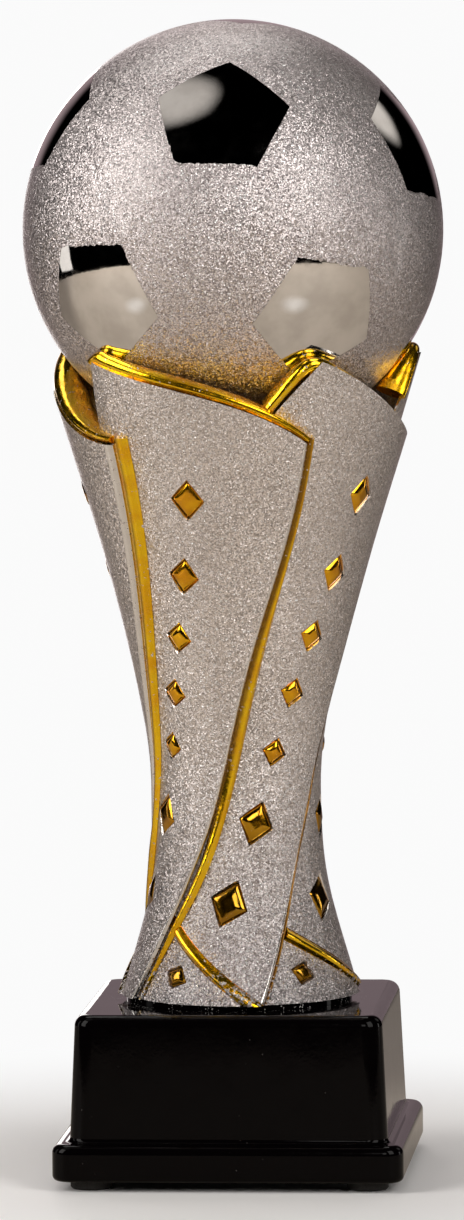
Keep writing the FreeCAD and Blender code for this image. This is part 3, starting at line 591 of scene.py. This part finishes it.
# Soft glows in the room: azimuth, elevation, radius of the bright core, radius of the whole, strength
GLOWS = [(-70, 68, 8, 19, 0.60), (135, 32, 5, 13, 0.75)]
GLOW_COLOUR = (1.0, 0.95, 0.9)

LAMP_TARGET = Vector((0, 0, 0.17))
LAMP_COLOUR = (1.0, 0.97, 0.94)
# Name, azimuth, elevation, distance, width, height, power
SOFTBOXES = [
    ("softbox_left", -62, 26, 1.2, 0.6, 0.9, 8.8),
    ("softbox_right", 50, 28, 1.2, 0.6, 0.9, 7.6),
    ("softbox_front", 8, 20, 1.5, 0.5, 0.5, 3.2),
    ("softbox_hair", 195, 60, 1.0, 0.7, 0.4, 2.4),
    ("softbox_side", -100, 8, 1.1, 0.2, 0.7, 0.5),
    ("softbox_rim", -166, 3, 1.2, 0.2, 0.5, 0.9),
    ("softbox_edge", 108, -2, 1.1, 0.12, 0.5, 0.8),
]


def direction(azimuth, elevation):
    """Unit vector towards a point given by degrees from the front and degrees above level."""
    a, e = math.radians(azimuth), math.radians(elevation)
    return Vector((math.sin(a) * math.cos(e), -math.cos(a) * math.cos(e), math.sin(e)))


def stage_floor():
    """Pale table top, which fades into the backdrop away from the trophy.

    Reflections show it in a warmer tone, with two pools of painted light, and darker behind the trophy.
    """
    bpy.ops.mesh.primitive_circle_add(vertices=TABLE_SIDES, radius=TABLE_RADIUS, fill_type="NGON")
    floor = bpy.context.object
    floor.name = "stage_table"
    g = MaterialGraph("stage_table")
    seen = g.add("ShaderNodeLightPath").outputs["Is Camera Ray"]
    tone = g.mix(g.noise(0.05), *TABLE_REFLECTED)
    # Painted light: two bright pools mixed into the reflected tone of the table
    for pool in TABLE_LIGHT_POOLS:
        away = g.vector("DISTANCE", g.place, pool).outputs["Value"]
        tone = g.mix(g.remap(away, *TABLE_LIGHT_POOL_RADII, 1.0, 0.0), tone, TABLE_LIGHT_POOL_TONE)
    behind = g.remap(g.along("Y"), *TABLE_SHADE_Y, 0.0, TABLE_SHADE_SHARE)
    tone = g.mix(behind, tone, TABLE_SHADE)
    tone = g.mix(seen, tone, TABLE_SEEN)
    g.finish(Base_Color=tone, Roughness=0.6, Normal=g.bump(g.noise(0.004), 0.00005))
    glow = g.add("ShaderNodeEmission", Color=BACKDROP, Strength=1.0)
    far = g.remap(g.vector("LENGTH", g.place).outputs["Value"], *TABLE_FADE)
    table = g.blend(g.math("MULTIPLY", far, seen), g.surface.outputs[0], glow.outputs[0])
    g.feed(g.tree.nodes["Material Output"].inputs["Surface"], table)
    floor.data.materials.append(g.material)


def stage_world():
    """A dim room for reflections, lighter behind the trophy, with a plain pale backdrop to the eye."""
    world = bpy.data.worlds.new("studio")
    scene.world = world
    world.use_nodes = True
    g = Graph(world.node_tree, "Generated")

    def glow(azimuth, elevation, cosines, strength, colour):
        """Light that grows from the edge to the core of a cone round a direction."""
        facing = g.vector("DOT_PRODUCT", g.place, direction(azimuth, elevation)).outputs["Value"]
        return g.scaled(colour, g.remap(facing, *cosines, 0.0, strength))

    light = glow(BEHIND_AZIMUTH, BEHIND_ELEVATION, BEHIND_COSINES, 1.0, BEHIND_COLOUR)
    for azimuth, elevation, core, whole, strength in GLOWS:
        cosines = math.cos(math.radians(whole)), math.cos(math.radians(core))
        more = glow(azimuth, elevation, cosines, strength, GLOW_COLOUR)
        light = g.vector("ADD", light, more).outputs[0]
    room = g.tree.nodes["Background"]
    g.feed(room.inputs["Color"], light)
    backdrop = g.add("ShaderNodeBackground", Color=BACKDROP)
    seen = g.add("ShaderNodeLightPath").outputs["Is Camera Ray"]
    surface = g.blend(seen, room.outputs[0], backdrop.outputs[0])
    g.feed(g.tree.nodes["World Output"].inputs["Surface"], surface)


def softbox(name, azimuth, elevation, distance, width, height, power):
    """Rectangular lamp aimed at the upper column, placed by its direction from there."""
    lamp = bpy.data.lights.new(name, "AREA")
    lamp.shape = "RECTANGLE"
    lamp.size = width
    lamp.size_y = height
    lamp.energy = power
    lamp.color = LAMP_COLOUR
    holder = bpy.data.objects.new(name, lamp)
    scene.collection.objects.link(holder)
    away = direction(azimuth, elevation)
    holder.location = LAMP_TARGET + away * distance
    holder.rotation_euler = away.to_track_quat("Z", "Y").to_euler()
    holder.visible_camera = False


def stage_camera():
    """A long lens from a little right of the front and a little above level."""
    camera = bpy.data.objects.new("camera", bpy.data.cameras.new("camera"))
    scene.collection.objects.link(camera)
    camera.data.lens = CAMERA_LENS
    camera.data.sensor_width = CAMERA_SENSOR
    camera.data.clip_start = CAMERA_CLIP
    away = direction(CAMERA_AZIMUTH, CAMERA_ELEVATION)
    turn = away.to_track_quat("Z", "Y").to_matrix() @ Matrix.Rotation(math.radians(CAMERA_ROLL), 3, "Z")
    camera.matrix_world = Matrix.Translation(CAMERA_TARGET + away * CAMERA_DISTANCE) @ turn.to_4x4()
    scene.camera = camera


stage_floor()
stage_world()
for lamp_numbers in SOFTBOXES:
    softbox(*lamp_numbers)
stage_camera()
scene.view_settings.view_transform = "Standard"
